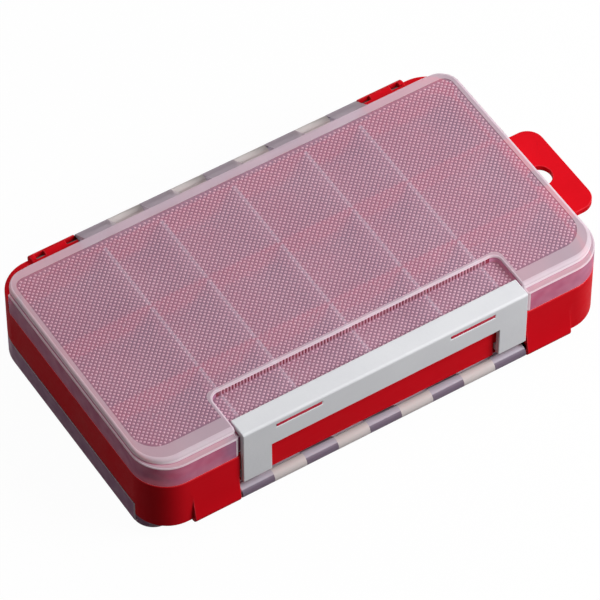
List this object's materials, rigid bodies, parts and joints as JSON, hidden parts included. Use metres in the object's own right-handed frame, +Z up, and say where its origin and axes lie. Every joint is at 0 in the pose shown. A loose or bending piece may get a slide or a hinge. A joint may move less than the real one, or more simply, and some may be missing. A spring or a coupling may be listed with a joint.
{
  "type": "double-sided lure case",
  "caption": "Flat double-sided case for fishing lures: a tray with loose dividers on each face, each under a hinged clear lid that a latch holds shut.",
  "frame": {"origin": "middle of the lower lid's flat face, which the case rests on", "axes": "+X along the case towards the hang tab, +Y towards the upper lid's hinge, +Z up"},
  "size_m": [0.1929, 0.105, 0.038],
  "materials": {
    "red_body": "moulded red plastic, satin gloss",
    "clear_lid": "clear plastic with a fine diamond texture over the plate",
    "white_latch": "pale grey-white plastic, satin",
    "hinge_rod": "drawn wire",
    "divider": "milky translucent plastic"
  },
  "bodies": {
    "case": {"body": "red_body", "upper_hinge_rod": "hinge_rod", "lower_hinge_rod": "hinge_rod", "upper_divider_front_1": "divider", "upper_divider_front_2": "divider", "upper_divider_front_3": "divider", "upper_divider_front_4": "divider", "upper_divider_front_5": "divider", "upper_divider_middle_1": "divider", "upper_divider_middle_2": "divider", "upper_divider_middle_3": "divider", "upper_divider_middle_4": "divider", "upper_divider_middle_5": "divider", "upper_divider_rear_1": "divider", "upper_divider_rear_2": "divider", "upper_divider_rear_3": "divider", "upper_divider_rear_4": "divider", "upper_divider_rear_5": "divider", "lower_divider_front_1": "divider", "lower_divider_front_2": "divider", "lower_divider_middle_1": "divider", "lower_divider_middle_2": "divider", "lower_divider_rear_1": "divider", "lower_divider_rear_2": "divider"},
    "upper_lid": {"upper_lid": "clear_lid"},
    "lower_lid": {"lower_lid": "clear_lid"},
    "front_latch": {"front_latch": "white_latch"},
    "rear_latch": {"rear_latch": "white_latch"}
  },
  "joints": [
    {"name": "upper_lid_hinge", "type": "hinge", "parent": "case", "child": "upper_lid", "pos_m": [0, 0.05, 0.0312], "axis": [-1, 0, 0], "range_deg": [0, 150]},
    {"name": "lower_lid_hinge", "type": "hinge", "parent": "case", "child": "lower_lid", "pos_m": [0, -0.05, 0.0068], "axis": [-1, 0, 0], "range_deg": [0, 150]},
    {"name": "front_latch_pivot", "type": "hinge", "parent": "case", "child": "front_latch", "pos_m": [0, -0.0493, 0.0156], "axis": [1, 0, 0], "range_deg": [0, 90]},
    {"name": "rear_latch_pivot", "type": "hinge", "parent": "case", "child": "rear_latch", "pos_m": [0, 0.0493, 0.0224], "axis": [1, 0, 0], "range_deg": [0, 90]}
  ]
}
